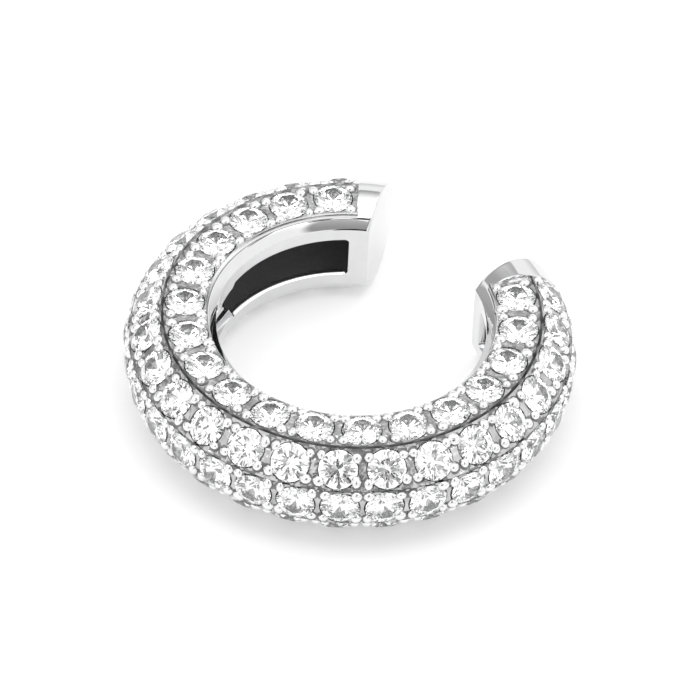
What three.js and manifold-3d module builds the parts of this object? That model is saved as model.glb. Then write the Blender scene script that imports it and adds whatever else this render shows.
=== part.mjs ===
// An ear cuff: an open silver ring with a domed outside, set all over with round clear stones in five rows.
// Lengths are in millimetres and angles in degrees. The ring's axis is Z, and its gap opens towards +X.
import * as THREE from "three";
import { mergeVertices } from "three/addons/utils/BufferGeometryUtils.js";
import Module from "manifold-3d";

// The band, measured in a plane through the ring's axis.
const INNER_RADIUS = 4.5;
const INNER_FACE_HEIGHT = 2.5;
const RIM_BEVEL = 0.28; // the polished strip beside the inner face, at 45 degrees
const BAND_DEPTH = 3.03; // from the inner face out to the tables of the middle row
const CREST_DEPTH = 1.05; // from the inner face out to the line where the dome is highest
const CUFF_HEIGHT = 3.8; // over the tables of the two outermost rows
const WALL_THICKNESS = 0.2; // the inner wall, as seen at the sills of its windows
const PLATE_THICKNESS = 0.65; // the domed plate that holds the stones
const JOINT_GAP = 0.03; // between the plate and the body that carries it

// The gap for the ear, and the two plain polished ends.
const GAP_WIDTH = 4.4; // between the ends, at the inner face
const END_LEAN = 10; // how far each end face turns from a radial plane, so that the gap is wedge-shaped
const END_LENGTH = 0.43; // the plain metal from the end to the first stones, along the inner face

// The windows in the inner wall.
const WINDOW_COUNT = 4;
const WINDOW_HEIGHT = 1.6;
const WINDOW_BAR = 1.18; // the metal between two windows, along the inner face
const WINDOW_FRAME = 0.65; // the metal between the last window and the end, along the inner face
const WINDOW_CORNER = 0.15;

// The stones.
const STONE_DIAMETER = 1.3;
const TABLE_DIAMETER = 0.74;
const CROWN_HEIGHT = 0.19;
const GIRDLE_HEIGHT = 0.04;
const PAVILION_DEPTH = 0.45;
const STONE_PROUD = 0.14; // how far the tables stand above the plate
const STONE_FACETS = 8;

// The rows, from one rim over the dome to the other. The angle is where the row lies on the dome's ellipse, from the
// middle of the band. The pitch is a share of the stone's diameter.
const ROWS = [
  { name: "upper rim", angle: 90, pitch: 1.197 },
  { name: "upper shoulder", angle: 44.5, pitch: 1.244 },
  { name: "middle", angle: 0, pitch: 1.155 },
  { name: "lower shoulder", angle: -44.5, pitch: 1.244 },
  { name: "lower rim", angle: -90, pitch: 1.197 },
];

// How finely curves are cut.
const BODY_STEPS = 72; // round the whole ring
const PLATE_STEPS = 40;
const DOME_STEPS = 8;
const SHOULDER_STEPS = 2;
const CAVITY_STEPS = 5;
const CORNER_STEPS = 3;

const CREST_RADIUS = INNER_RADIUS + CREST_DEPTH;
const RIM_RADIUS = INNER_RADIUS + RIM_BEVEL;
const RIM_HALF = INNER_FACE_HEIGHT / 2 + RIM_BEVEL;
const BEYOND = INNER_RADIUS + BAND_DEPTH + CUFF_HEIGHT; // a length that passes right through the cuff

const wasm = await Module();
wasm.setup();

function solidFrom(geometry) {
  geometry.deleteAttribute("normal");
  geometry.deleteAttribute("uv");
  const merged = mergeVertices(geometry, 1e-5);
  return new wasm.Manifold(
    new wasm.Mesh({
      numProp: 3,
      vertProperties: merged.getAttribute("position").array,
      triVerts: new Uint32Array(merged.index.array),
    }),
  );
}

function geometryFrom(solid) {
  const { vertProperties, triVerts } = solid.getMesh();
  const geometry = new THREE.BufferGeometry()
    .setAttribute("position", new THREE.BufferAttribute(vertProperties, 3))
    .setIndex(new THREE.BufferAttribute(triVerts, 1));
  const faceted = geometry.toNonIndexed();
  faceted.computeVertexNormals();
  return faceted;
}

// An arc of an ellipse in the section plane, where x is the radius and y the height.
function arc(centreX, centreY, radiusX, radiusY, from, to, steps) {
  const toRadians = THREE.MathUtils.degToRad;
  return new THREE.EllipseCurve(
    centreX, centreY, radiusX, radiusY, toRadians(from), toRadians(to), from > to,
  ).getPoints(steps);
}

// The outside of the dome from the lower rim to the upper one, lying inset below the stones' tables.
function domeOutline(inset, rimRadius) {
  const reach = BAND_DEPTH - CREST_DEPTH - inset;
  const half = CUFF_HEIGHT / 2 - inset;
  const width = CREST_RADIUS - rimRadius;
  return [
    ...arc(CREST_RADIUS, -RIM_HALF, width, half - RIM_HALF, 180, 270, SHOULDER_STEPS),
    ...arc(CREST_RADIUS, 0, reach, half, -90, 90, DOME_STEPS).slice(1),
    ...arc(CREST_RADIUS, RIM_HALF, width, half - RIM_HALF, 90, 180, SHOULDER_STEPS).slice(1),
  ];
}

// A closed section, carried once round the ring's axis.
function ringOf(section, steps) {
  const geometry = new THREE.LatheGeometry([...section, section[0]], steps);
  return solidFrom(geometry.rotateX(Math.PI / 2));
}

// An outline in the plane of the ring, carried up and down past both faces.
function prismOf(points) {
  const geometry = new THREE.ExtrudeGeometry(new THREE.Shape(points), {
    depth: 2 * BEYOND,
    bevelEnabled: false,
  });
  return solidFrom(geometry.translate(0, 0, -BEYOND));
}

function alongInnerFace(length) {
  return THREE.MathUtils.radToDeg(length / INNER_RADIUS);
}

function polar(radius, angle) {
  const radians = THREE.MathUtils.degToRad(angle);
  return new THREE.Vector2(radius * Math.cos(radians), radius * Math.sin(radians));
}

// Angles from the middle of the gap, for the upper arm. The lower arm mirrors it.
const END_ANGLE = THREE.MathUtils.radToDeg(Math.asin(GAP_WIDTH / 2 / INNER_RADIUS));
const PAVE_ANGLE = END_ANGLE + alongInnerFace(END_LENGTH);
const WINDOW_ANGLE = END_ANGLE + alongInnerFace(WINDOW_FRAME);

// The wedge of air between the two ends.
function earGap() {
  const corner = polar(INNER_RADIUS, END_ANGLE);
  const outside = corner.clone().add(polar(BEYOND, END_ANGLE - END_LEAN));
  return prismOf([
    new THREE.Vector2(0, 0),
    new THREE.Vector2(corner.x, -corner.y),
    new THREE.Vector2(outside.x, -outside.y),
    outside,
    corner,
  ]);
}

// The wedge that the two ends and the gap take up, grown on both sides by the clearance given.
function endWedge(clearance) {
  const apex = -clearance / Math.sin(THREE.MathUtils.degToRad(PAVE_ANGLE));
  const side = polar(2 * BEYOND, PAVE_ANGLE);
  return prismOf([
    new THREE.Vector2(apex, 0),
    new THREE.Vector2(apex + side.x, -side.y),
    new THREE.Vector2(apex + side.x, side.y),
  ]);
}

// The part of a window's length that its rounded corners take, and half its height there.
function cornerStations() {
  return arc(0, 0, WINDOW_CORNER, WINDOW_CORNER, 180, 90, CORNER_STEPS).map((point) => ({
    along: point.x + WINDOW_CORNER,
    half: WINDOW_HEIGHT / 2 - WINDOW_CORNER + point.y,
  }));
}

// One window: its outline in the inner wall, as a curved bar that passes right through the wall.
function windowAt(fromAngle, toAngle) {
  const corners = cornerStations();
  const stations = corners.map(({ along, half }) => ({ angle: fromAngle + alongInnerFace(along), half }));
  const first = stations.at(-1).angle;
  const last = fromAngle + toAngle - first;
  const steps = Math.ceil((BODY_STEPS * (last - first)) / 360);
  for (let i = 1; i < steps; i += 1) {
    stations.push({ angle: first + ((last - first) * i) / steps, half: WINDOW_HEIGHT / 2 });
  }
  for (const { along, half } of corners.reverse()) {
    stations.push({ angle: toAngle - alongInnerFace(along), half });
  }
  const inside = INNER_RADIUS - WALL_THICKNESS;
  const outside = INNER_RADIUS + 2 * WALL_THICKNESS;
  const positions = stations.flatMap(({ angle, half }) => {
    const inner = polar(inside, angle);
    const outer = polar(outside, angle);
    return [
      inner.x, inner.y, -half, outer.x, outer.y, -half, outer.x, outer.y, half, inner.x, inner.y, half,
    ];
  });
  const index = [0, 1, 2, 0, 2, 3];
  for (let station = 0; station < stations.length - 1; station += 1) {
    for (let side = 0; side < 4; side += 1) {
      const a = 4 * station + side;
      const b = 4 * station + ((side + 1) % 4);
      index.push(a, a + 4, b, b, a + 4, b + 4);
    }
  }
  const end = positions.length / 3 - 4;
  index.push(end, end + 2, end + 1, end, end + 3, end + 2);
  const geometry = new THREE.BufferGeometry()
    .setAttribute("position", new THREE.Float32BufferAttribute(positions, 3))
    .setIndex(index);
  return solidFrom(geometry);
}

function windows() {
  const openArc = 360 - 2 * WINDOW_ANGLE;
  const bar = alongInnerFace(WINDOW_BAR);
  const length = (openArc - (WINDOW_COUNT - 1) * bar) / WINDOW_COUNT;
  return Array.from({ length: WINDOW_COUNT }, (_, i) => {
    const start = WINDOW_ANGLE + i * (length + bar);
    return windowAt(start, start + length);
  });
}

// Where the plate's edge meets the rims, at the outside and at the roof of the hollow.
const CAVITY_HALF = CUFF_HEIGHT / 2 - STONE_PROUD - PLATE_THICKNESS;
const SEAM_OUTSIDE = new THREE.Vector2(RIM_RADIUS, RIM_HALF);
const SEAM_INSIDE = new THREE.Vector2(RIM_RADIUS + WALL_THICKNESS, CAVITY_HALF);

// The polished metal: the windowed inner wall with its two rims, and the two solid ends.
function cuffBody() {
  const wallOutside = INNER_RADIUS + WALL_THICKNESS;
  const upperHalf = [
    new THREE.Vector2(wallOutside, CAVITY_HALF),
    SEAM_INSIDE,
    SEAM_OUTSIDE,
    new THREE.Vector2(INNER_RADIUS, INNER_FACE_HEIGHT / 2),
  ];
  const lowerHalf = upperHalf.map(({ x, y }) => new THREE.Vector2(x, -y)).reverse();
  const channel = ringOf([...lowerHalf, ...upperHalf], BODY_STEPS);
  const solidBand = ringOf([
    new THREE.Vector2(INNER_RADIUS, -INNER_FACE_HEIGHT / 2),
    ...domeOutline(0, RIM_RADIUS),
    new THREE.Vector2(INNER_RADIUS, INNER_FACE_HEIGHT / 2),
  ], BODY_STEPS);
  const ends = solidBand.intersect(endWedge(0));
  return windows().reduce(
    (body, window) => body.subtract(window),
    channel.add(ends).subtract(earGap()),
  );
}

// The domed plate without its stones: a shell that is open towards the inner wall.
function settingPlate() {
  const shift = new THREE.Vector2(JOINT_GAP, 0);
  const outside = SEAM_OUTSIDE.clone().add(shift);
  const inside = SEAM_INSIDE.clone().add(shift);
  const reach = BAND_DEPTH - CREST_DEPTH - STONE_PROUD - PLATE_THICKNESS;
  const plate = ringOf([
    ...domeOutline(STONE_PROUD, outside.x),
    inside,
    ...arc(CREST_RADIUS, 0, reach, CAVITY_HALF, 90, -90, CAVITY_STEPS),
    new THREE.Vector2(inside.x, -inside.y),
  ], PLATE_STEPS);
  return plate.subtract(endWedge(JOINT_GAP));
}

// A round cut stone with its table at the origin, facing +Y.
function stoneGeometry() {
  const radius = STONE_DIAMETER / 2;
  const girdle = -CROWN_HEIGHT - GIRDLE_HEIGHT;
  const profile = [
    new THREE.Vector2(0, girdle - PAVILION_DEPTH),
    new THREE.Vector2(radius, girdle),
    new THREE.Vector2(radius, -CROWN_HEIGHT),
    new THREE.Vector2(TABLE_DIAMETER / 2, 0),
    new THREE.Vector2(0, 0),
  ];
  return new THREE.LatheGeometry(profile, STONE_FACETS);
}

// The places of one row's stones: as many as fit between the ends, centred opposite the gap.
function rowPlaces({ angle, pitch }) {
  const radians = THREE.MathUtils.degToRad(angle);
  const reach = BAND_DEPTH - CREST_DEPTH;
  const half = CUFF_HEIGHT / 2;
  const radius = CREST_RADIUS + reach * Math.cos(radians);
  const height = half * Math.sin(radians);
  const lean = Math.atan2(Math.sin(radians) / half, Math.cos(radians) / reach);
  const length = THREE.MathUtils.degToRad(360 - 2 * PAVE_ANGLE) * radius;
  const count = Math.floor((length - STONE_DIAMETER) / (pitch * STONE_DIAMETER)) + 1;
  const step = (pitch * STONE_DIAMETER) / radius;
  return Array.from({ length: count }, (_, i) => {
    const turn = Math.PI + (i - (count - 1) / 2) * step;
    const outward = new THREE.Vector3(Math.cos(turn), Math.sin(turn), 0);
    const facing = outward.clone().multiplyScalar(Math.cos(lean)).setZ(Math.sin(lean));
    const along = new THREE.Vector3(-outward.y, outward.x, 0);
    return new THREE.Matrix4()
      .makeBasis(along, facing, along.clone().cross(facing))
      .setPosition(radius * outward.x, radius * outward.y, height);
  });
}

function paveField() {
  const stones = ROWS.flatMap(rowPlaces).map((place) => solidFrom(stoneGeometry().applyMatrix4(place)));
  return stones.reduce((field, stone) => field.add(stone), settingPlate());
}

const polishedSilver = new THREE.MeshStandardMaterial({ color: 0xd9dadc, metalness: 1, roughness: 0.12 });
const clearStone = new THREE.MeshStandardMaterial({ color: 0xf4f6f8, metalness: 0.1, roughness: 0.05 });

function named(name, solid, material) {
  const mesh = new THREE.Mesh(geometryFrom(solid), material);
  mesh.name = name;
  return mesh;
}

const ring = new THREE.Group();
ring.add(named("cuff_body", cuffBody(), polishedSilver));
ring.add(named("pave_field", paveField(), clearStone));

// The cuff lies on its side: the origin is under the middle of its box, on the surface it rests on.
const box = new THREE.Box3().setFromObject(ring);
const middle = box.getCenter(new THREE.Vector3());
ring.position.set(-middle.x, -middle.y, -box.min.z);

const earCuff = new THREE.Group();
earCuff.add(ring);

export default earCuff;
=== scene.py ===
"""The ear cuff as it looks: a polished silver ring with a gap, pave set with round brilliants in five rows.

Sizes are in millimetres and angles in degrees until a mesh is made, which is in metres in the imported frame.
The ring's own frame has its middle on the ring's axis, half way up the band, and the gap towards +X.
"""

import logging
import math
from dataclasses import dataclass, field
from enum import Enum, IntEnum

import bmesh
import bpy
import numpy as np
from mathutils import Matrix, Vector

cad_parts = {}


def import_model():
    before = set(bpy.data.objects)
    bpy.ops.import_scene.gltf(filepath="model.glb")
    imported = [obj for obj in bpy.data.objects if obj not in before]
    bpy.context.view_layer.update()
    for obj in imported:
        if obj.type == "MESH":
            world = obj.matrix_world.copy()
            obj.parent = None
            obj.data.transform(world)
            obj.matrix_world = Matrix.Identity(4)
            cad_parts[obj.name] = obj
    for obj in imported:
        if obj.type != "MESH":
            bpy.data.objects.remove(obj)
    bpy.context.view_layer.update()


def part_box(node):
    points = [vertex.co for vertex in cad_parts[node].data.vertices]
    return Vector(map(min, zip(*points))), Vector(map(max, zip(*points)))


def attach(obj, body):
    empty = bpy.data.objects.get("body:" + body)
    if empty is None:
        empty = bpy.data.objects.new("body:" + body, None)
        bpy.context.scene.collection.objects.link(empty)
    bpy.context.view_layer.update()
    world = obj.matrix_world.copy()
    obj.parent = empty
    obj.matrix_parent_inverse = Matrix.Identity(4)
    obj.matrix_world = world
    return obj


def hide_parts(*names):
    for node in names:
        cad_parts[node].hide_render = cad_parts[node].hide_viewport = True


Array = np.ndarray
Colour = tuple[float, float, float]

MM = 0.001
BODY = "root"
SEED = 17
SAME_POINT = 1e-9
log = logging.getLogger("ear_cuff")


class Row(Enum):
    """One row of stones: its name, its angle on the dome's ellipse, and its pitch in diameters."""

    UPPER_RIM = ("upper_rim", 90.0, 1.197)
    UPPER_SHOULDER = ("upper_shoulder", 44.5, 1.244)
    MIDDLE = ("middle", 0.0, 1.155)
    LOWER_SHOULDER = ("lower_shoulder", -44.5, 1.244)
    LOWER_RIM = ("lower_rim", -90.0, 1.197)

    @property
    def label(self) -> str:
        """The row's name."""
        return self.value[0]

    @property
    def angle(self) -> float:
        """Where the row lies on the dome, in radians from the middle of the band."""
        return math.radians(self.value[1])

    @property
    def pitch(self) -> float:
        """The distance between two stones, as a share of their diameter."""
        return self.value[2]


@dataclass(frozen=True)
class Band:
    """The ring's section and gap, as the construction has them."""

    axis_x: float
    middle_z: float
    outer_radius: float
    half_height: float
    inner_radius: float = 4.5
    inner_half: float = 1.25
    rim_bevel: float = 0.28
    crest_depth: float = 1.05
    wall: float = 0.2
    cavity_half: float = 1.11
    cavity_reach: float = 1.19
    gap_width: float = 4.4
    end_lean: float = 10.0
    end_length: float = 0.43

    @classmethod
    def from_frame(cls) -> "Band":
        """Reads the ring's place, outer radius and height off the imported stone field.

        Returns:
            The band, with its middle where the frame has it.
        """
        low, high = (np.array(corner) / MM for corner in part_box("pave_field"))
        outer = (high[1] - low[1]) / 2
        return cls(
            axis_x=low[0] + outer,
            middle_z=(low[2] + high[2]) / 2,
            outer_radius=outer,
            half_height=(high[2] - low[2]) / 2,
        )

    @property
    def crest_radius(self) -> float:
        """The radius at which the dome is highest."""
        return self.inner_radius + self.crest_depth

    @property
    def dome_reach(self) -> float:
        """The dome's radial semi-axis, from the crest to the tables of the middle row."""
        return self.outer_radius - self.crest_radius

    @property
    def rim_radius(self) -> float:
        """The outer edge of the bevelled rim."""
        return self.inner_radius + self.rim_bevel

    @property
    def rim_half(self) -> float:
        """The height of that edge over the middle of the band."""
        return self.inner_half + self.rim_bevel

    @property
    def end_angle(self) -> float:
        """The end's corner at the inner face, in radians from the middle of the gap."""
        return math.asin(self.gap_width / 2 / self.inner_radius)

    @property
    def pave_angle(self) -> float:
        """Where the stones' plate begins, in radians from the middle of the gap."""
        return self.end_angle + self.end_length / self.inner_radius

    def end_face_angle(self, radius: Array) -> Array:
        """Where the leaning end face meets each radius, by the sine rule between axis, corner and face.

        Args:
            radius: Radii of points on the end face.

        Returns:
            Their angles from the middle of the gap, in radians.
        """
        lean = math.radians(self.end_lean)
        return self.end_angle - lean + np.arcsin(self.inner_radius * math.sin(lean) / radius)

    def placed(self, radius: Array, turn: Array, height: Array) -> Array:
        """Turns cylindrical places round the ring's axis into points of the frame.

        Args:
            radius: Distances from the axis.
            turn: Angles from the middle of the gap, in radians.
            height: Heights over the middle of the band.

        Returns:
            Points in metres, one more axis than the inputs.
        """
        x, y, z = np.broadcast_arrays(
            self.axis_x + radius * np.cos(turn), radius * np.sin(turn), self.middle_z + height
        )
        return np.stack([x, y, z], axis=-1) * MM


def ellipse_arc(
    centre: tuple[float, float], radii: tuple[float, float], start: float, stop: float, count: int
) -> Array:
    """An arc of an ellipse: the centre plus the radii times the cosine and sine of evenly spaced angles.

    Args:
        centre: Radius and height of the ellipse's middle.
        radii: Its semi-axes along the radius and the height.
        start: First angle in degrees.
        stop: Last angle in degrees.
        count: Number of points.

    Returns:
        Points of radius and height.
    """
    angle = np.radians(np.linspace(start, stop, count))
    return np.array(centre) + np.array(radii) * np.stack([np.cos(angle), np.sin(angle)], axis=1)


def parabola(start: Array, control: Array, stop: Array, count: int) -> Array:
    """A parabola drawn by three control points: the blend of two straight blends.

    Args:
        start: First point.
        control: Where the tangents of both ends meet.
        stop: Last point.
        count: Number of points.

    Returns:
        The points.
    """
    share = np.linspace(0, 1, count)[:, None]
    return start * (1 - share) ** 2 + control * 2 * share * (1 - share) + stop * share**2


def resampled(points: Array, count: int) -> Array:
    """Spaces points evenly along a polyline by interpolating over its running length.

    Args:
        points: The polyline.
        count: Number of points wanted.

    Returns:
        The new points, with the same ends.
    """
    run = np.concatenate([[0.0], np.cumsum(np.linalg.norm(np.diff(points, axis=0), axis=1))])
    wanted = np.linspace(0.0, run[-1], count)
    return np.stack([np.interp(wanted, run, points[:, axis]) for axis in range(points.shape[1])], axis=1)


def outward_normals(loop: Array) -> Array:
    """The outward normals of a closed anticlockwise loop: the chord of two neighbours, turned clockwise.

    Args:
        loop: Points of radius and height.

    Returns:
        Unit normals, one for each point.
    """
    chord = np.roll(loop, -1, axis=0) - np.roll(loop, 1, axis=0)
    return unit(np.stack([chord[:, 1], -chord[:, 0]], axis=1))


def make_object(
    name: str, vertices: Array, faces: list[list[int]], materials: list[bpy.types.Material]
) -> bpy.types.Object:
    """Makes a mesh object at the origin and rides it on the one body.

    Args:
        name: The piece's name.
        vertices: Points in metres.
        faces: Vertex numbers of each face.
        materials: The piece's finishes, in slot order.

    Returns:
        The object.
    """
    mesh = bpy.data.meshes.new(name)
    mesh.from_pydata(np.asarray(vertices).reshape(-1, 3).tolist(), [], faces)
    for material in materials:
        mesh.materials.append(material)
    mesh.update()
    piece = bpy.data.objects.new(name, mesh)
    bpy.context.scene.collection.objects.link(piece)
    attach(piece, BODY)
    log.info("%s: %d faces", name, len(mesh.polygons))
    return piece


def grid_faces(rows: int, columns: int, wrap: bool = False) -> Array:
    """The quads between the points of a grid, numbered row by row.

    Args:
        rows: Points along the first parameter.
        columns: Points along the second.
        wrap: Whether the second parameter closes on itself.

    Returns:
        One line of four vertex numbers for each quad.
    """
    row = np.arange(rows - 1)[:, None]
    column = np.arange(columns if wrap else columns - 1)[None, :]
    after = (column + 1) % columns
    here, below = row * columns, (row + 1) * columns
    quads = [here + column, here + after, below + after, below + column]
    return np.stack(np.broadcast_arrays(*quads), axis=-1).reshape(-1, 4)


def repeated(faces: list[list[int]], points: int, copies: int) -> list[list[int]]:
    """The faces of a small shape repeated in one mesh: each copy's numbers go up by the shape's points.

    Args:
        faces: The shape's faces.
        points: How many points it has.
        copies: How many times it stands in the mesh.

    Returns:
        All the faces.
    """
    return [[corner + copy * points for corner in face] for copy in range(copies) for face in faces]


def unit(vectors: Array) -> Array:
    """Vectors divided by their own lengths."""
    return vectors / np.linalg.norm(vectors, axis=-1, keepdims=True)


def clean_mesh(piece: bpy.types.Object, distance: float) -> None:
    """Merges doubled points, drops what collapses and turns the faces outwards.

    Args:
        piece: The object whose mesh is cleaned.
        distance: How near two points are to be one, in metres.
    """
    work = bmesh.new()
    work.from_mesh(piece.data)
    bmesh.ops.remove_doubles(work, verts=work.verts, dist=distance)
    bmesh.ops.dissolve_degenerate(work, edges=work.edges, dist=distance)
    bmesh.ops.recalc_face_normals(work, faces=work.faces)
    work.to_mesh(piece.data)
    work.free()


class Shader:
    """A material's node tree, built a node at a time."""

    def __init__(self, name: str) -> None:
        """Starts a material with its surface shader and object coordinates.

        Args:
            name: The material's name.
        """
        self.material = bpy.data.materials.new(name)
        self.material.use_nodes = True
        self.tree = self.material.node_tree
        self.surface = self.tree.nodes["Principled BSDF"]
        self.coordinates = self.node("ShaderNodeTexCoord").outputs["Object"]

    def node(self, kind: str, **inputs: object) -> bpy.types.Node:
        """Adds a node and sets or links the inputs named.

        Args:
            kind: The node's type.
            inputs: Values or sockets for its inputs, with underscores for the spaces in their names.

        Returns:
            The node.
        """
        made = self.tree.nodes.new(kind)
        for name, value in inputs.items():
            self.feed(made.inputs[name.replace("_", " ")], value)
        return made

    def feed(self, socket: bpy.types.NodeSocket, value: object) -> None:
        """Sets a socket to a number or colour, or links an output into it.

        Args:
            socket: The input.
            value: What it gets.
        """
        if isinstance(value, bpy.types.NodeSocket):
            self.tree.links.new(value, socket)
        else:
            socket.default_value = value

    def noise(self, per_mm: float, detail: float = 3.0) -> bpy.types.NodeSocket:
        """Noise with the given number of features in a millimetre."""
        node = self.node("ShaderNodeTexNoise", Vector=self.coordinates, Scale=per_mm / MM, Detail=detail)
        return node.outputs["Fac"]

    def between(self, factor: bpy.types.NodeSocket, low: float, high: float) -> bpy.types.NodeSocket:
        """Maps a factor's middle stretch to the range given."""
        span = {"From_Min": 0.3, "From_Max": 0.7, "To_Min": low, "To_Max": high}
        return self.node("ShaderNodeMapRange", Value=factor, **span).outputs["Result"]

    def blend(self, factor: bpy.types.NodeSocket, low: Colour, high: Colour) -> bpy.types.NodeSocket:
        """Mixes two colours by a factor, through the mix node's own colour sockets.

        Args:
            factor: The share of the second colour.
            low: The first colour.
            high: The second colour.

        Returns:
            The mixed colour's socket.
        """
        node = self.tree.nodes.new("ShaderNodeMix")
        node.data_type = "RGBA"
        share, first, second, mixed = node.inputs[0], node.inputs[6], node.inputs[7], node.outputs[2]
        self.feed(share, factor)
        self.feed(first, (*low, 1.0))
        self.feed(second, (*high, 1.0))
        return mixed

    def bump(self, height: bpy.types.NodeSocket, depth_mm: float) -> None:
        """Raises the surface by a height map, to the depth given."""
        node = self.node("ShaderNodeBump", Height=height, Strength=1.0, Distance=depth_mm * MM)
        self.feed(self.surface.inputs["Normal"], node.outputs["Normal"])

    def dress(
        self, factor: bpy.types.NodeSocket, colours: tuple[Colour, Colour], gloss: tuple[float, float]
    ) -> None:
        """Lets one pattern vary both the colour and the roughness.

        Args:
            factor: The pattern.
            colours: The colours at its two ends.
            gloss: The roughness at its two ends.
        """
        self.feed(self.surface.inputs["Base Color"], self.blend(factor, *colours))
        self.feed(self.surface.inputs["Roughness"], self.between(factor, *gloss))


@dataclass(frozen=True)
class Silver:
    """Rhodium-bright silver: mirror polish with slow waves from the wheel and a breath of haze."""

    name: str
    dark: Colour = (0.68, 0.68, 0.685)
    light: Colour = (0.74, 0.74, 0.745)
    smooth: float = 0.02
    hazy: float = 0.07
    haze_per_mm: float = 2.2
    wave_depth: float = 0.0012
    waves_per_mm: float = 0.9

    def material(self) -> bpy.types.Material:
        """Builds the finish.

        Returns:
            The material.
        """
        shader = Shader(self.name)
        haze = shader.noise(self.haze_per_mm)
        shader.surface.inputs["Metallic"].default_value = 1.0
        shader.dress(haze, (self.dark, self.light), (self.smooth, self.hazy))
        shader.bump(shader.noise(self.waves_per_mm, detail=1.0), self.wave_depth)
        return shader.material


POLISHED = Silver("polished_silver")
GRAIN = Silver("grain_silver", dark=(0.8, 0.8, 0.805), light=(0.88, 0.88, 0.885), smooth=0.12, hazy=0.2)
BRIDGE = Silver(
    "bridge_silver",
    dark=(0.22, 0.22, 0.222),
    light=(0.8, 0.8, 0.805),
    smooth=0.12,
    hazy=0.28,
    wave_depth=0.05,
    waves_per_mm=4.0,
)
# Painted shade: near-black silver for the grooves between rows, the rims' edges, the seats' outer floors and
# the moats round the grains, where shade falls.
CREVICE_SHADE = Silver(
    "painted_crevice_shade", dark=(0.12, 0.12, 0.121), light=(0.32, 0.32, 0.323), smooth=0.3, hazy=0.5
)


@dataclass(frozen=True)
class DarkHollow:
    """The inside of the hollow, dark grey with a fine grain."""

    name: str = "dark_hollow_inside"
    dark: Colour = (0.12, 0.12, 0.122)
    light: Colour = (0.2, 0.2, 0.203)
    smooth: float = 0.5
    rough: float = 0.7
    shine: float = 0.3
    grains_per_mm: float = 9.0
    grain_depth: float = 0.01

    def material(self) -> bpy.types.Material:
        """Builds the finish.

        Returns:
            The material.
        """
        shader = Shader(self.name)
        grain = shader.noise(self.grains_per_mm, detail=5.0)
        shader.dress(grain, (self.dark, self.light), (self.smooth, self.rough))
        shader.surface.inputs["Specular IOR Level"].default_value = self.shine
        shader.bump(grain, self.grain_depth)
        return shader.material


@dataclass(frozen=True)
class ClearStone:
    """Colourless cubic zirconia: clear, highly refracting, with the faint bloom that handling leaves."""

    name: str = "clear_zirconia"
    ior: float = 2.15
    faint: Colour = (0.97, 0.975, 0.98)
    clear: Colour = (1.0, 1.0, 1.0)
    smooth: float = 0.0
    bloomed: float = 0.003
    blooms_per_mm: float = 1.6

    def material(self) -> bpy.types.Material:
        """Builds the finish.

        Returns:
            The material.
        """
        shader = Shader(self.name)
        shader.surface.inputs["Transmission Weight"].default_value = 1.0
        shader.surface.inputs["IOR"].default_value = self.ior
        bloom = shader.noise(self.blooms_per_mm)
        shader.dress(bloom, (self.faint, self.clear), (self.smooth, self.bloomed))
        return shader.material


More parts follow.
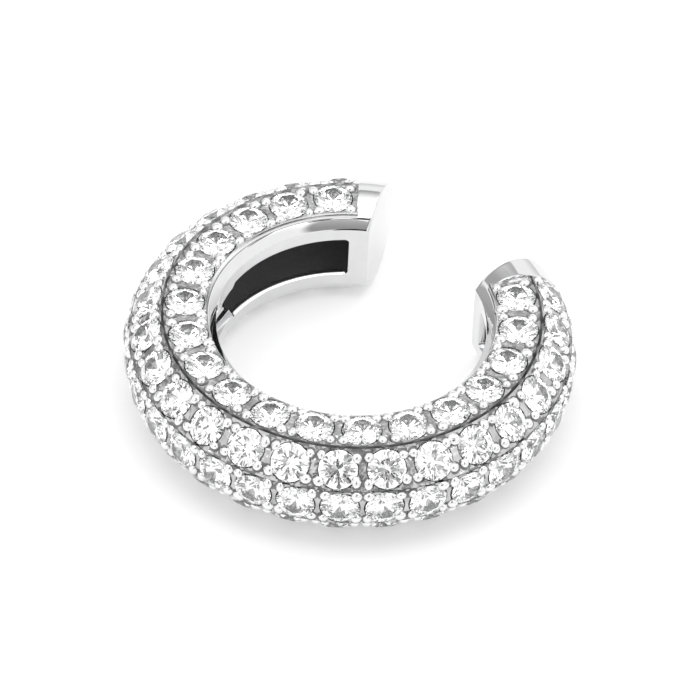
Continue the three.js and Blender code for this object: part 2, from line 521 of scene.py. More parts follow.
@dataclass
class PolishedBody:
    """The polished metal as one sheet: the windowed inner wall, two bevelled rims and two plain ends.

    The ends' edges are rounded by end_round, and by corner_round at the inner corners. The one passes into
    the other over corner_reach, along the radius and along the height.
    """

    band: Band
    finish: bpy.types.Material
    window_count: int = 4
    window_half: float = 0.8
    window_bar: float = 1.18
    bar_setback: float = 0.35
    bar_points: int = 8
    window_frame: float = 0.65
    window_corner: float = 0.15
    end_round: float = 0.055
    corner_round: float = 0.11
    corner_reach: tuple[float, float] = (0.4, 0.3)
    shoulder_arch: float = 0.035
    shoulder_points: int = 24
    dome_points: int = 140
    crest_blend: int = 8
    crest_points: int = 9
    window_draft: float = 0.075
    draft_reach: float = 0.3
    edge_round: float = 0.022
    edge_segments: int = 2
    edge_angle: float = 32.0
    seam: float = 0.0005
    bevel_crown: float = 0.006
    bevel_points: int = 9
    strip_points: int = 8
    window_points: int = 41
    round_steps: int = 8
    travel_steps: int = 10
    arc_step: float = 1.2

    def corner_turns(self) -> tuple[Array, Array]:
        """A window's rounded corner as a quarter circle.

        Returns:
            The way along from the window's end, in radians round the ring, and its half height there.
        """
        quarter = np.radians(np.linspace(0, 90, self.round_steps))
        along = self.window_corner * (1 - np.cos(quarter)) / self.band.inner_radius
        half = self.window_half - self.window_corner * (1 - np.sin(quarter))
        return along, half

    def wall_columns(self) -> tuple[Array, Array, Array, Array]:
        """The columns of the wall between the two ends.

        Returns:
            Each column's angle in front and behind, half the height of the window's line there, and whether
            a window is cut after it.
        """
        band = self.band
        first = band.end_angle + self.window_frame / band.inner_radius
        bar = self.window_bar / band.inner_radius
        length = (2 * math.pi - 2 * first - (self.window_count - 1) * bar) / self.window_count
        along, half = self.corner_turns()
        turns, halves, cut = [np.array([band.pave_angle])], [half[:1]], [np.array([False])]
        steps = max(2, round(math.degrees(length) / self.arc_step))
        edges = first + (length + bar) * np.arange(self.window_count)[:, None] + np.array([0.0, length])
        for window, (start, stop) in enumerate(edges):
            middle = np.linspace(start + along[-1], stop - along[-1], steps)
            turns += [start + along[:-1], middle, (stop - along[:-1])[::-1]]
            halves += [half[:-1], np.full(steps, self.window_half), half[:-1][::-1]]
            count = 2 * (len(along) - 1) + steps
            cut.append(np.arange(count) < count - 1)
            if window < self.window_count - 1:
                bars = np.linspace(stop, stop + bar, self.bar_points)[1:-1]
                turns.append(bars)
                halves.append(np.full(len(bars), half[0]))
                cut.append(np.zeros(len(bars), bool))
        turns.append(np.array([2 * math.pi - band.pave_angle]))
        halves.append(half[:1])
        cut.append(np.array([False]))
        front = np.concatenate(turns)
        away = front[:, None, None] - edges
        shift = (self.drafted(away * band.inner_radius) * (1, -1)).sum(axis=(1, 2)) / band.inner_radius
        return front, front + shift, np.concatenate(halves), np.concatenate(cut)

    def inner_profile(self, half: float) -> Array:
        """The polished side of the section, from the upper rim's outer edge down to the lower one's.

        The bevels are crowned a little, as polishing leaves them: a parabola over each one's width.

        Args:
            half: Half the height of the window's line.

        Returns:
            Points of radius and height, the same number for each half.
        """
        band = self.band
        bevel = np.linspace(0, 1, self.bevel_points)[:, None]
        outer = np.array([band.rim_radius, band.rim_half])
        inner = np.array([band.inner_radius, band.inner_half])
        crown = 4 * self.bevel_crown * bevel * (1 - bevel)
        upper = outer + (inner - outer) * bevel + crown * np.array([-1, 1]) / math.sqrt(2)
        strip = np.linspace(band.inner_half, half, self.strip_points)[1:]
        wall = np.concatenate([strip, np.linspace(half, -half, self.window_points)[1:-1], -strip[::-1]])
        wall = np.stack([np.full(len(wall), band.inner_radius), wall], axis=1)
        return np.concatenate([upper, wall, upper[::-1] * (1, -1)])

    def set_back(self, fronts: Array, halves: Array) -> Array:
        """How far outwards each point of the wall moves.

        The bars between two windows stand back from the inner face. Their columns are the ones as low as a
        window's ends, but for the first two and the last two, which carry on into the plain ends.

        Args:
            fronts: The polished side's points for each column.
            halves: Half the height of the window's line in each column.

        Returns:
            The shift of the radius, zero outside the bars.
        """
        solid = np.flatnonzero(halves <= halves.min())[2:-2]
        bar = np.isin(np.arange(len(halves)), solid)
        return self.bar_setback * (bar[:, None] & (np.abs(fronts[..., 1]) < halves[:, None] - self.seam))

    def drafted(self, distance: Array) -> Array:
        """How far the back of the wall stands in from a window's edge, fading on both sides of it.

        Args:
            distance: Distances from the edge in millimetres.

        Returns:
            The shift at each of them.
        """
        return self.window_draft * np.clip(1 - np.abs(distance) / self.draft_reach, 0, 1)

    def back_profile(self, inner: Array, half: float) -> Array:
        """The hidden side of the wall, point by point behind the polished side.

        Args:
            inner: The polished side.
            half: Half the height of the window's line.

        Returns:
            Points near the same heights at the wall's outer radius, with the windows' draft.
        """
        band = self.band
        height = np.abs(inner[:, 1])
        depth = np.clip((height - band.inner_half) / band.rim_bevel, 0, 1)
        radius = band.inner_radius + band.wall + depth * band.rim_bevel
        height = np.minimum(height - self.drafted(height - half), band.cavity_half)
        return np.stack([radius, np.sign(inner[:, 1]) * height], axis=1)

    def dome_profile(self, count: int) -> Array:
        """The outside of a plain end, from the upper rim over the dome to the lower rim.

        The shoulder rises from the rim to the crest as a slightly arched slope, a parabola through three
        control points. A tight arc at the crest turns it into the dome, which is half an ellipse.

        Args:
            count: Number of points.

        Returns:
            Points of radius and height.
        """
        band = self.band
        rim = np.array([band.rim_radius, band.rim_half])
        crest = np.array([band.crest_radius, band.half_height])
        chord = crest - rim
        arch = (rim + crest) / 2 + unit(np.array([-chord[1], chord[0]])) * self.shoulder_arch
        shoulder = parabola(rim, arch, crest, self.shoulder_points)
        radii = (band.dome_reach, band.half_height)
        dome = ellipse_arc((band.crest_radius, 0.0), radii, 90, -90, self.dome_points)
        blend = self.crest_blend
        turn = parabola(shoulder[-1 - blend], crest, dome[blend], self.crest_points)
        upper = np.concatenate([shoulder[: -1 - blend], turn])
        whole = np.concatenate([upper, dome[blend + 1 : -blend - 1], upper[::-1] * (1, -1)])
        return resampled(whole, count)

    def end_columns(self) -> tuple[Array, Array]:
        """One plain end, from its flat face to the plane where the stones begin.

        Each point of the section travels along its arc from the leaning end face. Close to the face the
        section shrinks inwards on a quarter circle, which rounds the edge, most at the inner corners.

        Returns:
            Points of radius and height for each column, the polished side first, and their angles.
        """
        band = self.band
        inner = self.inner_profile(self.window_half - self.window_corner)
        back = self.dome_profile(len(inner))
        loop = np.concatenate([inner, back[::-1]])
        normal = -outward_normals(loop)
        if np.sum(normal * (loop - loop.mean(axis=0))) < 0:
            normal = -normal
        away = np.abs(loop) - (band.inner_radius, band.inner_half)
        corner = np.exp(-np.sum((away / self.corner_reach) ** 2, axis=1))
        rounding = self.end_round + (self.corner_round - self.end_round) * corner
        quarter = np.radians(np.linspace(0, 90, self.round_steps))[:, None]
        inset = rounding * (1 - np.sin(quarter))
        setback = rounding * (1 - np.cos(quarter))
        rounded = loop[None] - normal[None] * inset[..., None]
        rounded_turn = band.end_face_angle(rounded[..., 0]) + setback / rounded[..., 0]
        share = np.linspace(0, 1, self.travel_steps)[1:, None]
        travel_turn = rounded_turn[-1] + (band.pave_angle - rounded_turn[-1]) * share
        sections = np.concatenate([rounded, np.broadcast_to(loop, (len(share), *loop.shape))])
        turns = np.concatenate([rounded_turn, travel_turn])
        count = len(inner)
        order = np.concatenate([np.arange(count), np.arange(2 * count - 1, count - 1, -1)])
        return sections[:, order], turns[:, order]

    def build(self) -> bpy.types.Object:
        """Builds the sheet: two grids, front and back, sewn together at the ends and round each window.

        Returns:
            The object.
        """
        band = self.band
        end_sections, end_turns = self.end_columns()
        turns, back_turns, halves, cut = self.wall_columns()
        fronts = np.array([self.inner_profile(half) for half in halves])
        backs = np.array([self.back_profile(front, half) for front, half in zip(fronts, halves)])
        walls = np.concatenate([fronts, backs], axis=1)
        walls[..., 0] += np.tile(self.set_back(fronts, halves), 2)
        width = walls.shape[1]
        sections = np.concatenate([end_sections, walls, end_sections[::-1]])
        wall_turns = np.repeat(np.stack([turns, back_turns], axis=1), width // 2, axis=1)
        angles = np.concatenate([end_turns, wall_turns, 2 * math.pi - end_turns[::-1]])
        vertices = band.placed(sections[..., 0], angles, sections[..., 1])
        kept = np.ones((len(sections) - 1, width // 2 - 1), bool)
        top = self.bevel_points + self.strip_points - 2
        kept[np.flatnonzero(cut) + len(end_sections), top : top + self.window_points - 1] = False
        piece = make_object("polished_body", vertices, self.sheet_faces(kept, width), [self.finish])
        self.finish_edges(piece)
        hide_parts("cuff_body")
        return piece

    @staticmethod
    def sheet_faces(kept: Array, width: int) -> list[list[int]]:
        """The faces of a thick sheet: the kept cells of both sides, and a wall wherever a kept cell ends.

        Args:
            kept: Which cells of the grid are metal.
            width: Points in one column, the front's and then the back's.

        Returns:
            The faces, all turned the same way.
        """
        columns, rows = kept.shape
        column, row = np.nonzero(kept)
        corner = column * width + row
        behind = width // 2
        front = np.stack([corner, corner + 1, corner + width + 1, corner + width], axis=1)
        back = front[:, ::-1] + behind
        padded = np.pad(kept, 1)
        sides = []
        for step, (start, stop) in {
            (-1, 0): (0, 1),
            (1, 0): (width + 1, width),
            (0, -1): (width, 0),
            (0, 1): (1, width + 1),
        }.items():
            neighbour = padded[1 + step[0] : 1 + step[0] + columns, 1 + step[1] : 1 + step[1] + rows]
            column, row = np.nonzero(kept & ~neighbour)
            corner = column * width + row
            ends = [corner + stop, corner + start, corner + start + behind, corner + stop + behind]
            sides.append(np.stack(ends, axis=1))
        return np.concatenate([front, back, *sides]).tolist()

    def finish_edges(self, piece: bpy.types.Object) -> None:
        """Merges the seams, rounds the sharp edges and evens the shading of the flats.

        Args:
            piece: The sheet.
        """
        clean_mesh(piece, self.seam * MM)
        bevel = piece.modifiers.new("edge_round", "BEVEL")
        bevel.width = self.edge_round * MM
        bevel.segments = self.edge_segments
        bevel.limit_method = "ANGLE"
        bevel.angle_limit = math.radians(self.edge_angle)
        bevel.use_clamp_overlap = True
        weighted = piece.modifiers.new("even_flats", "WEIGHTED_NORMAL")
        weighted.keep_sharp = True
        piece.data.shade_smooth()


@dataclass
class StoneField:
    """Where the stones sit: each row's centres, facing and turns, worked out as the construction does."""

    band: Band
    diameter: float = 1.3
    rng: np.random.Generator = field(default_factory=lambda: np.random.default_rng(SEED))

    def section(self, row: Row) -> tuple[Array, Array]:
        """The row's point on the dome's ellipse, and the ellipse's normal there.

        Args:
            row: The row of stones.

        Returns:
            Radius and height of the tables, and the unit normal in the same plane.
        """
        band = self.band
        cosine, sine = math.cos(row.angle), math.sin(row.angle)
        point = np.array([band.crest_radius + band.dome_reach * cosine, band.half_height * sine])
        return point, unit(np.array([cosine / band.dome_reach, sine / band.half_height]))

    def turns(self, row: Row) -> Array:
        """The stones' angles: as many as fit between the ends at the row's pitch, centred opposite the gap.

        Args:
            row: The row of stones.

        Returns:
            The angles in radians.
        """
        radius = self.section(row)[0][0]
        pitch = row.pitch * self.diameter
        length = (2 * math.pi - 2 * self.band.pave_angle) * radius
        count = math.floor((length - self.diameter) / pitch) + 1
        return math.pi + (np.arange(count) - (count - 1) / 2) * pitch / radius

    def axes(self, row: Row, turns: Array) -> tuple[Array, Array, Array, Array]:
        """The row's places as points and unit vectors.

        Args:
            row: The row of stones.
            turns: Angles round the ring.

        Returns:
            Centres of the tables in metres, and the directions along the row, across it and outwards.
        """
        point, normal = self.section(row)
        centre = self.band.placed(np.full_like(turns, point[0]), turns, np.full_like(turns, point[1]))
        radial = np.stack([np.cos(turns), np.sin(turns), np.zeros_like(turns)], axis=1)
        along = np.stack([-np.sin(turns), np.cos(turns), np.zeros_like(turns)], axis=1)
        up = np.array([0.0, 0.0, 1.0])
        facing = radial * normal[0] + up * normal[1]
        return centre, along, np.cross(facing, along), facing


@dataclass
class Brilliants:
    """The stones: round brilliants of 57 facets, one mesh for each row."""

    places: StoneField
    finish: bpy.types.Material
    table: float = 0.56
    crown_depth: float = 0.115
    girdle_depth: float = 0.015
    pavilion_depth: float = 0.458
    star_radius: float = 0.40
    lower_radius: float = 0.115
    lean: float = 1.6

    def cut(self) -> tuple[Array, list[list[int]]]:
        """One stone of unit diameter with its table at the origin, facing +Z.

        The kites between the table and the girdle lie in planes through both, so the star points' height
        follows from the crown's slope, and the lower points' height from the pavilion's.

        Returns:
            Its points and its faces.
        """
        table, rim = self.table / 2, 0.5
        sixteenth = math.pi / 8
        eighth = 2 * sixteenth * np.arange(8)
        between = eighth + sixteenth
        inset = math.cos(sixteenth)
        star_height = -self.crown_depth * (self.star_radius * inset - table) / (rim - table)
        girdle_low = -self.crown_depth - self.girdle_depth
        culet = girdle_low - self.pavilion_depth
        lower_height = culet + self.pavilion_depth * self.lower_radius * inset / rim

        def circle(angles: Array, radius: float, height: float) -> Array:
            """Points of one radius and height at the angles given."""
            return np.stack([radius * np.cos(angles), radius * np.sin(angles), np.full(8, height)], axis=1)

        points = np.concatenate([
            circle(eighth, table, 0.0),
            circle(between, self.star_radius, star_height),
            circle(eighth, rim, -self.crown_depth),
            circle(between, rim, -self.crown_depth),
            circle(eighth, rim, girdle_low),
            circle(between, rim, girdle_low),
            circle(between, self.lower_radius, lower_height),
            [[0.0, 0.0, culet]],
        ])
        corner, star, main, half, main_low, half_low, lower = (np.arange(8) + 8 * i for i in range(7))
        tip = np.full(8, len(points) - 1)
        next_corner, next_main, next_main_low = (np.roll(ring, -1) for ring in (corner, main, main_low))
        last_star, last_lower = np.roll(star, 1), np.roll(lower, 1)
        quads = [
            (corner, last_star, main, star),
            (main, main_low, half_low, half),
            (half, half_low, next_main_low, next_main),
            (tip, lower, main_low, last_lower),
        ]
        triangles = [
            (corner, star, next_corner),
            (star, main, half),
            (star, half, next_main),
            (lower, half_low, main_low),
            (lower, next_main_low, half_low),
        ]
        faces = [corner.tolist()]
        for group in quads + triangles:
            faces += np.stack(group, axis=1).tolist()
        return points, faces

    def build(self) -> list[bpy.types.Object]:
        """Builds one mesh for each row, every stone turned and leant a little as a setter leaves it.

        Each stone's three axes are the facing, leant along and across the row, a direction across it at the
        stone's own turn, and their cross product.

        Returns:
            The objects, one for each row.
        """
        points, faces = self.cut()
        points *= self.places.diameter * MM
        pieces = []
        for row in Row:
            turns = self.places.turns(row)
            centre, along, across, facing = self.places.axes(row, turns)
            spin = self.places.rng.uniform(0, 2 * math.pi, len(turns))
            leans = np.radians(self.places.rng.normal(0, self.lean, (2, len(turns))))
            tilted = unit(facing + along * leans[0][:, None] + across * leans[1][:, None])
            first = np.cos(spin)[:, None] * along + np.sin(spin)[:, None] * across
            first = unit(first - tilted * np.sum(first * tilted, axis=1, keepdims=True))
            basis = np.stack([first, np.cross(tilted, first), tilted], axis=1)
            vertices = centre[:, None] + np.einsum("pk,nkx->npx", points, basis)
            copies = repeated(faces, len(points), len(turns))
            piece = make_object(f"stones_{row.label}", vertices, copies, [self.finish])
            clean_mesh(piece, SAME_POINT)
            pieces.append(piece)
        return pieces


@dataclass
class Grains:
    """The beads of metal raised beside each gap between two stones, in pairs on both sides of a row."""

    places: StoneField
    finish: bpy.types.Material
    radius: float = 0.185
    half_spacing: float = 0.2
    reach: float = 0.735
    rim_shift: float = 0.07
    top: float = -0.035
    root: float = -0.36
    crown: float = 0.8
    uneven: float = 0.09
    lean: float = 0.12
    sides: int = 10

    def bead(self) -> tuple[Array, list[list[int]]]:
        """One grain: a short round post with a domed top, as a profile turned round its own axis.

        The dome is a part of an ellipsoid, a little flatter than a ball.

        Returns:
            Points in millimetres, with the level of the tables as height 0, and the faces.
        """
        dome = np.radians(np.array([0, 30, 60]))
        reach = self.radius * np.append(1.0, np.cos(dome))[:, None]
        height = np.append(self.root, self.top - self.radius * self.crown * (1 - np.sin(dome)))[:, None]
        turn = np.radians(360 / self.sides) * np.arange(self.sides)
        parts = np.broadcast_arrays(reach * np.cos(turn), reach * np.sin(turn), height)
        points = np.concatenate([np.stack(parts, axis=-1).reshape(-1, 3), [[0.0, 0.0, self.top]]])
        tip = len(points) - 1
        last = tip - self.sides
        cap = [[last + i, last + (i + 1) % self.sides, tip] for i in range(self.sides)]
        base = [list(range(self.sides))[::-1]]
        return points, grid_faces(len(height), self.sides, wrap=True).tolist() + cap + base

    def spots(self, row: Row) -> tuple[Array, Array]:
        """Where a row's grains stand: at each gap, and outside the two last stones.

        The distance from a stone's middle to its grains is fixed, so the way across the row follows from
        the way along it as the other side of a right triangle.

        Args:
            row: The row of stones.

        Returns:
            Angles round the ring, and offsets across the row in millimetres.
        """
        turns = self.places.turns(row)
        radius = self.places.section(row)[0][0]
        pitch = row.pitch * self.places.diameter
        along = pitch / 2 - self.half_spacing
        across = math.sqrt(self.reach**2 - along**2)
        sides = np.concatenate([turns - along / radius, turns + along / radius])
        upper = across + self.rim_shift * (row is Row.UPPER_RIM)
        lower = across + self.rim_shift * (row is Row.LOWER_RIM)
        return np.tile(sides, 2), np.repeat([upper, -lower], len(sides))

    def places_on(self, row: Row) -> tuple[Array, Array, Array, Array]:
        """The grains' places at the level of the tables, and their directions.

        Args:
            row: The row of stones.

        Returns:
            Points and directions as StoneField.axes gives them.
        """
        turns, across = self.spots(row)
        centre, along, over, facing = self.places.axes(row, turns)
        return centre + over * (across * MM)[:, None], along, over, facing

    def build(self) -> bpy.types.Object:
        """Builds every grain into one mesh, each with its own slight size and lean.

        Returns:
            The object.
        """
        points, faces = self.bead()
        rng = self.places.rng
        vertices = []
        for row in Row:
            centre, along, over, facing = self.places_on(row)
            size = rng.normal(1.0, self.uneven, (len(centre), 1, 3)) * (1, 1, 0) + (0, 0, 1)
            leans = rng.normal(0, self.lean, (2, len(centre)))
            tilted = unit(facing + along * leans[0][:, None] + over * leans[1][:, None])
            basis = np.stack([along, over, tilted], axis=1)
            vertices.append(centre[:, None] + np.einsum("npk,nkx->npx", points * MM * size, basis))
        vertices = np.concatenate(vertices)
        copies = repeated(faces, len(points), len(vertices))
        piece = make_object("setting_grains", vertices, copies, [self.finish])
        clean_mesh(piece, SAME_POINT)
        piece.data.shade_smooth()
        return piece


@dataclass(frozen=True)
class Pit:
    """A round pit in the plate: its radius, the step at its edge, its slope and greatest depth.

    Farther out than a given radius its floor gets painted shade, standing for the shade in the pit.
    """

    radius: float
    step: float
    slope: float
    floor: float
    shade_from: float = 0.0


class PlateSlot(IntEnum):
    """The plate's finishes, in the order of its material slots."""

    BRIDGE = 0
    INSIDE = 1
    # painted shade in the grooves and pits
    CREVICE_SHADE = 2
    RIM = 3


@dataclass
class SettingPlate:
    """The domed plate: a flat land for each row, grooves between, seats for the stones, a dark inside, and
    painted shade in the grooves and pits.

    A wave of the grooves is given by its swings round the ring, its shift in radians and its size.
    """

    places: StoneField
    grains: Grains
    finish: bpy.types.Material
    inside: bpy.types.Material
    crevice_shade: bpy.types.Material
    land_depth: float = 0.165
    land_half: float = 0.708
    groove_depth: float = 0.07
    # The seats' floors get painted shade beyond 0.6 mm from their middle, the moats' floors all over.
    seat: Pit = Pit(radius=0.68, step=0.06, slope=1.1, floor=0.615, shade_from=0.6)
    moat: Pit = Pit(radius=0.225, step=0.03, slope=0.2, floor=0.05)
    snap: float = 0.04
    pit_margin: float = 0.25
    rim_points: int = 4
    rim_step: tuple[tuple[float, float], ...] = ((0.0, 0.0), (0.02, 0.008), (0.03, 0.15))
    groove_wander: float = 0.03
    waves: tuple[tuple[float, float, float], ...] = ((43, 0.0, 1.0), (71, 2.0, 0.8))
    beside_from: float = 0.25
    land_points: int = 22
    inside_points: int = 9
    arc_step: float = 0.5
    overlap: float = 0.25
    sharp_angle: float = 35.0

    def outline(self) -> Array:
        """The plate's outside from the upper rim to the lower one.

        Each land is a straight line across its row, sunk below the tables. Between two lands the outline
        dips to a groove's bottom, half way between their edges and pushed inwards. A small step leads from
        each rim to its first land.

        Returns:
            Points of radius and height.
        """
        band = self.places.band
        lands = []
        for row in Row:
            point, normal = self.places.section(row)
            tangent = np.array([normal[1], -normal[0]])
            offset = np.linspace(-self.land_half, self.land_half, self.land_points)[:, None]
            lands.append(point - normal * self.land_depth + tangent * offset)
        rim = np.array([band.rim_radius, band.rim_half]) + np.array(self.rim_step)
        pieces = [rim, lands[0]]
        for before, after in zip(lands, lands[1:]):
            middle = (before[-1] + after[0]) / 2
            inward = np.array([band.crest_radius, 0.0]) - middle
            pieces += [(middle + unit(inward) * self.groove_depth)[None], after]
        pieces.append(rim[::-1] * (1, -1))
        return np.concatenate(pieces)

    def grooves(self) -> Array:
        """Which points of the outline are the bottom of a groove between two rows.

        Returns:
            A mark for each point: after each land but the last there is one such point.
        """
        marks = np.zeros(self.land_points + 1, bool)
        marks[0] = True
        return np.pad(np.tile(marks, len(Row))[1:], len(self.rim_step))

    def course(self, turns: Array) -> Array:
        """How the grooves wander: waves of different length, added, as a share of their greatest reach.

        Args:
            turns: Angles round the ring.

        Returns:
            Values between -1 and 1.
        """
        swings = sum(size * np.sin(turns * count + shift) for count, shift, size in self.waves)
        return swings / sum(size for _, _, size in self.waves)

    def wander(self, turns: Array) -> Array:
        """How far the grooves leave their way up and down, for each angle and each point of the outline."""
        return self.groove_wander * np.outer(self.course(turns), self.grooves())

    def painted_shade_marks(self, turns: Array) -> Array:
        """Which points get painted shade beside the pits: the grooves, wider where they wander aside, and
        both rims.

        Args:
            turns: Angles round the ring.

        Returns:
            A mark for each angle and each point of the outline.
        """
        deep, course = self.grooves(), self.course(turns)
        after = np.outer(course > self.beside_from, np.roll(deep, 1))
        before = np.outer(course < -self.beside_from, np.roll(deep, -1))
        marks = deep[None, :] | after | before
        marks[:, [0, -1]] = True
        return marks

    def pitted(self, vertices: Array) -> tuple[Array, Array]:
        """Sinks a seat under each stone and then a shallow moat round each grain.

        Args:
            vertices: The plate's outside as columns of points, in metres.

        Returns:
            The same points, moved, and which of them get painted shade.
        """
        flat = vertices.reshape(-1, 3).copy()
        taken, dark = np.zeros((2, *vertices.shape[:-1]), bool)
        taken[:, : self.rim_points] = True
        taken[:, -self.rim_points :] = True
        for row in Row:
            for place in zip(*self.places.axes(row, self.places.turns(row))):
                self.sink(flat, taken.reshape(-1), dark.reshape(-1), place, self.seat)
        for row in Row:
            for place in zip(*self.grains.places_on(row)):
                self.sink(flat, taken.reshape(-1), dark.reshape(-1), place, self.moat)
        dark[:, : self.rim_points + 1] = False
        dark[:, -self.rim_points - 1 :] = False
        return flat.reshape(vertices.shape), dark

    def sink(self, flat: Array, taken: Array, dark: Array, place: tuple[Array, ...], pit: Pit) -> None:
        """Sinks one round pit: points near its edge are drawn onto it, and those inside go down its slope.

        Args:
            flat: The plate's points, which are moved.
            taken: Marks of the points that a pit has already, which stay.
            dark: Marks of the points that get painted shade.
            place: The pit's centre, and the directions along the row, across it and outwards.
            pit: The pit's shape.
        """
        centre, along, across, facing = place
        offset = flat - centre
        reach = (pit.radius + self.pit_margin) * MM
        near = np.flatnonzero((np.einsum("ij,ij->i", offset, offset) < reach**2) & ~taken)
        x, y = offset[near] @ along / MM, offset[near] @ across / MM
        distance = np.hypot(x, y)
        edge = np.abs(distance - pit.radius) < self.snap
        inside = (distance < pit.radius) & ~edge
        grow = np.where(edge, pit.radius / np.maximum(distance, self.snap) - 1, 0.0)
        down = np.where(inside, np.minimum(pit.step + (pit.radius - distance) * pit.slope, pit.floor), 0.0)
        flat[near] += (np.outer(x * grow, along) + np.outer(y * grow, across) - np.outer(down, facing)) * MM
        taken[near] |= edge | inside
        # painted shade on the pit's floor beyond its shade radius
        dark[near] |= inside & (distance > pit.shade_from)

    def hollow(self) -> Array:
        """The plate's inside from the lower seam to the upper one: half an ellipse between two points.

        Returns:
            Points of radius and height.
        """
        band = self.places.band
        radii = (band.cavity_reach, band.cavity_half)
        arc = ellipse_arc((band.crest_radius, 0.0), radii, -90, 90, self.inside_points)
        seam = np.array([band.rim_radius + band.wall, band.cavity_half])
        return np.concatenate([(seam * (1, -1))[None], arc, seam[None]])

    def slots(self, faces: Array, dark: Array, around: int) -> Array:
        """The finish of each face, by the points at its corners.

        A face with a point inside is inside, else one with a dark point gets the painted shade, and one with
        all its points in the rim strips has the grains' finish.

        Args:
            faces: The plate's quads.
            dark: Marks of the outside's points with painted shade, column by column.
            around: Points in one column, the outside's and then the inside's.

        Returns:
            The number of its PlateSlot.
        """
        columns, outside = dark.shape
        hidden = np.tile(np.arange(around) >= outside, columns)
        strip = (np.arange(around) < self.rim_points) | (np.arange(around) >= outside - self.rim_points)
        sunk = np.pad(dark, ((0, 0), (0, around - outside))).reshape(-1)
        finish = np.where(np.tile(strip, columns)[faces].all(axis=1), PlateSlot.RIM, PlateSlot.BRIDGE)
        # faces touching a shaded point get the painted shade
        finish = np.where(sunk[faces].any(axis=1), PlateSlot.CREVICE_SHADE, finish)
        return np.where(hidden[faces].any(axis=1), PlateSlot.INSIDE, finish)

    def build(self) -> bpy.types.Object:
        """Builds the plate as a closed section carried round the ring, with seats sunk into its outside.

        Returns:
            The object.
        """
        band = self.places.band
        outline, inside = self.outline(), self.hollow()
        start = band.pave_angle - math.radians(self.overlap)
        steps = round(360 * (1 - start / math.pi) / self.arc_step)
        turns = np.linspace(start, 2 * math.pi - start, steps)
        outer = band.placed(outline[:, 0], turns[:, None], outline[:, 1] + self.wander(turns))
        outer, dark = self.pitted(outer)
        # painted shade along the grooves and rims, added to the pits' own
        dark |= self.painted_shade_marks(turns)
        inner = band.placed(inside[:, 0], turns[:, None], inside[:, 1])
        vertices = np.concatenate([outer, inner], axis=1)
        around = vertices.shape[1]
        faces = grid_faces(len(turns), around, wrap=True)
        last = (len(turns) - 1) * around
        ends = [list(range(around)), list(range(last + around - 1, last - 1, -1))]
        finishes = [self.finish, self.inside, self.crevice_shade, self.grains.finish]
        piece = make_object("setting_plate", vertices, faces.tolist() + ends, finishes)
        slots = np.append(self.slots(faces, dark, around), [PlateSlot.BRIDGE] * len(ends)).astype(np.int32)
        piece.data.polygons.foreach_set("material_index", slots)
        piece.data.shade_smooth()
        piece.data.set_sharp_from_angle(angle=math.radians(self.sharp_angle))
        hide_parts("pave_field")
        return piece


@dataclass(frozen=True)
class Card:
    """A dimmer patch in the tent, as an ellipse of directions.

    Its azimuth is counted from the camera's, width and reach are its half sizes sideways and upwards, and
    share is the light that it leaves.
    """

    azimuth: float
    elevation: float
    width: float
    reach: float
    share: float


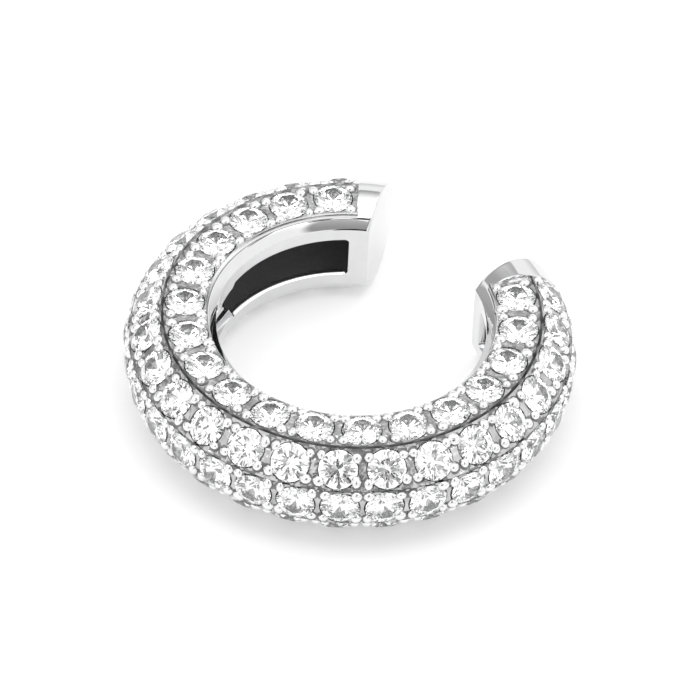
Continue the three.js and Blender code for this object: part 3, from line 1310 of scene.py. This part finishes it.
@dataclass
class Studio:
    """The plain white surface, the soft light from all sides and the camera at the photo's angle."""

    band: Band
    azimuth: float = -55.25
    elevation: float = 44.2
    roll: float = 3.0
    floor_drop: float = 0.025
    floor_half: float = 0.6
    floor_glow: float = 0.42
    paper: tuple[Colour, Colour] = ((0.58, 0.58, 0.58), (0.6, 0.6, 0.6))
    bounces: int = 24
    glossy_bounces: int = 16
    distance: float = 0.22
    frame_width: float = 23.33
    sensor: float = 36.0
    horizon: float = 0.85
    wall: float = 1.2
    roof: float = 1.5
    horizon_to_wall: tuple[float, float] = (0.0, 0.3)
    wall_to_roof: tuple[float, float] = (0.65, 0.93)
    card_edge: tuple[float, float] = (0.7, 1.4)
    cards: tuple[Card, ...] = (
        Card(0.0, 31.0, 15.0, 10.0, 0.02),
        Card(11.0, 45.5, 23.0, 9.0, 0.33),
        Card(0.0, 64.0, 24.0, 7.0, 0.05),
        Card(180.0, 52.0, 26.0, 14.0, 0.5),
        Card(-122.0, 8.0, 32.0, 14.0, 0.45),
        Card(-146.0, 44.0, 30.0, 8.0, 0.42),
        Card(-30.0, 66.0, 5.0, 8.0, 0.03),
        Card(44.0, 66.0, 5.0, 8.0, 0.03),
        Card(-82.0, 50.0, 5.0, 9.0, 0.03),
        Card(92.0, 50.0, 5.0, 9.0, 0.03),
    )

    def view_axes(self) -> tuple[Array, Array, Array]:
        """The camera's right, up and backward directions.

        Azimuth 0 looks along +Y and turns the camera round +Z. The roll then turns right towards up.

        Returns:
            Three unit vectors.
        """
        turn, rise, roll = (math.radians(a) for a in (self.azimuth, self.elevation, self.roll))
        right = np.array([math.cos(turn), math.sin(turn), 0.0])
        ahead = np.array([-math.sin(turn), math.cos(turn), 0.0])
        back = -ahead * math.cos(rise) + np.array([0, 0, math.sin(rise)])
        up = np.cross(back, right)
        cosine, sine = math.cos(roll), math.sin(roll)
        return right * cosine + up * sine, up * cosine - right * sine, back

    def camera(self) -> None:
        """Places a long lens so that the frame is as wide as the photo's at the ring's middle."""
        right, up, back = self.view_axes()
        target = np.array([self.band.axis_x, 0.0, self.band.middle_z]) * MM
        data = bpy.data.cameras.new("photo_camera")
        data.sensor_width = self.sensor
        data.lens = self.sensor * self.distance / (self.frame_width * MM)
        data.clip_start = 0.01
        data.clip_end = 10.0
        camera = bpy.data.objects.new("photo_camera", data)
        camera.matrix_world = Matrix(np.column_stack([right, up, back]).tolist()).to_4x4()
        camera.location = Vector(target + back * self.distance)
        bpy.context.scene.collection.objects.link(camera)
        bpy.context.scene.camera = camera

    def floor(self) -> None:
        """A white sheet that glows a little, so that it shows pure white but for the cuff's soft shadow."""
        sides = np.array([[-1, -1], [1, -1], [1, 1], [-1, 1]]) * self.floor_half
        corners = np.pad(sides, ((0, 0), (0, 1)), constant_values=-self.floor_drop * MM)
        mesh = bpy.data.meshes.new("floor")
        mesh.from_pydata(corners.tolist(), [], [[0, 1, 2, 3]])
        shader = Shader("white_sheet")
        surface = shader.surface
        surface.inputs["Roughness"].default_value = 0.9
        surface.inputs["Emission Strength"].default_value = self.floor_glow
        surface.inputs["Emission Color"].default_value = (1, 1, 1, 1)
        shader.feed(surface.inputs["Base Color"], shader.blend(shader.noise(per_mm=3.0), *self.paper))
        mesh.materials.append(shader.material)
        floor = bpy.data.objects.new("floor", mesh)
        bpy.context.scene.collection.objects.link(floor)

    def light(self) -> None:
        """A white tent: brightest overhead, dimmer to the horizon, with the dark lens and the grey cards.

        Each card dims the directions whose two distances from its middle, squared and added, are small.
        """
        world = bpy.data.worlds.new("white_tent")
        world.use_nodes = True
        tree = world.node_tree
        background = tree.nodes["Background"]
        background.inputs["Color"].default_value = (1.0, 1.0, 1.0, 1.0)
        direction = tree.nodes.new("ShaderNodeTexCoord").outputs["Generated"]
        height = self.share_along(tree, direction, (0.0, 0.0, 1.0))
        value = self.stepped(tree, height, self.horizon_to_wall, (self.horizon, self.wall))
        roof = self.stepped(tree, height, self.wall_to_roof, (0.0, self.roof))
        value = self.combined(tree, "ADD", value, roof)
        shade = None
        for card in self.cards:
            axis = self.toward(self.azimuth + card.azimuth, card.elevation)
            sideways = unit(np.cross([0.0, 0.0, 1.0], axis))
            across = sideways / math.sin(math.radians(card.width))
            upward = np.cross(axis, sideways) / math.sin(math.radians(card.reach))
            parts = [self.share_along(tree, direction, way) for way in (across, upward)]
            squares = (self.combined(tree, "MULTIPLY", part, part) for part in parts)
            distance = self.combined(tree, "ADD", *squares)
            dimmed = self.stepped(tree, distance, self.card_edge, (card.share, 1.0))
            shade = dimmed if shade is None else self.combined(tree, "MINIMUM", shade, dimmed)
        value = self.combined(tree, "MULTIPLY", value, shade)
        tree.links.new(value, background.inputs["Strength"])
        bpy.context.scene.world = world

    @staticmethod
    def share_along(
        tree: bpy.types.NodeTree, direction: bpy.types.NodeSocket, axis: Array
    ) -> bpy.types.NodeSocket:
        """The dot product of the world's direction and an axis.

        Args:
            tree: The world's nodes.
            direction: The direction's socket.
            axis: The axis.

        Returns:
            The product's socket.
        """
        dot = tree.nodes.new("ShaderNodeVectorMath")
        dot.operation = "DOT_PRODUCT"
        tree.links.new(direction, dot.inputs[0])
        dot.inputs[1].default_value = tuple(axis)
        return dot.outputs["Value"]

    @staticmethod
    def stepped(
        tree: bpy.types.NodeTree,
        value: bpy.types.NodeSocket,
        span: tuple[float, float],
        levels: tuple[float, float],
    ) -> bpy.types.NodeSocket:
        """A smooth step from one level to the other as the value crosses the span.

        Args:
            tree: The world's nodes.
            value: The value's socket.
            span: Where the step begins and ends.
            levels: The results before it and after it.

        Returns:
            The level's socket.
        """
        step = tree.nodes.new("ShaderNodeMapRange")
        step.interpolation_type = "SMOOTHSTEP"
        tree.links.new(value, step.inputs["Value"])
        for name, number in zip(("From Min", "From Max", "To Min", "To Max"), (*span, *levels)):
            step.inputs[name].default_value = number
        return step.outputs["Result"]

    @staticmethod
    def combined(
        tree: bpy.types.NodeTree, operation: str, *values: bpy.types.NodeSocket
    ) -> bpy.types.NodeSocket:
        """Adds or multiplies two values, or takes the lesser.

        Args:
            tree: The world's nodes.
            operation: The math node's operation.
            values: The two values' sockets.

        Returns:
            The result's socket.
        """
        node = tree.nodes.new("ShaderNodeMath")
        node.operation = operation
        for value, socket in zip(values, node.inputs):
            tree.links.new(value, socket)
        return node.outputs["Value"]

    @staticmethod
    def toward(azimuth: float, elevation: float) -> Array:
        """The direction in which a camera of that azimuth and elevation stands."""
        turn, rise = math.radians(azimuth), math.radians(elevation)
        return np.array([math.sin(turn) * math.cos(rise), -math.cos(turn) * math.cos(rise), math.sin(rise)])

    def build(self) -> None:
        """Sets up floor, light, camera and the plain view transform."""
        self.floor()
        self.light()
        self.camera()
        bpy.context.scene.view_settings.view_transform = "Standard"
        bpy.context.scene.cycles.max_bounces = self.bounces
        bpy.context.scene.cycles.glossy_bounces = self.glossy_bounces


def main() -> None:
    """Loads the frame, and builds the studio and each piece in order."""
    logging.basicConfig(level=logging.INFO, format="%(name)s: %(message)s")
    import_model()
    band = Band.from_frame()
    sizes = (band.axis_x, band.outer_radius, band.half_height)
    log.info("ring axis %.3f mm, outer radius %.3f mm, half height %.3f mm", *sizes)
    Studio(band).build()
    places = StoneField(band)
    PolishedBody(band, POLISHED.material()).build()
    grains = Grains(places, GRAIN.material())
    SettingPlate(places, grains, BRIDGE.material(), DarkHollow().material(), CREVICE_SHADE.material()).build()
    Brilliants(places, ClearStone().material()).build()
    grains.build()
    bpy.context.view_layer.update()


if __name__ == "__main__":
    main()
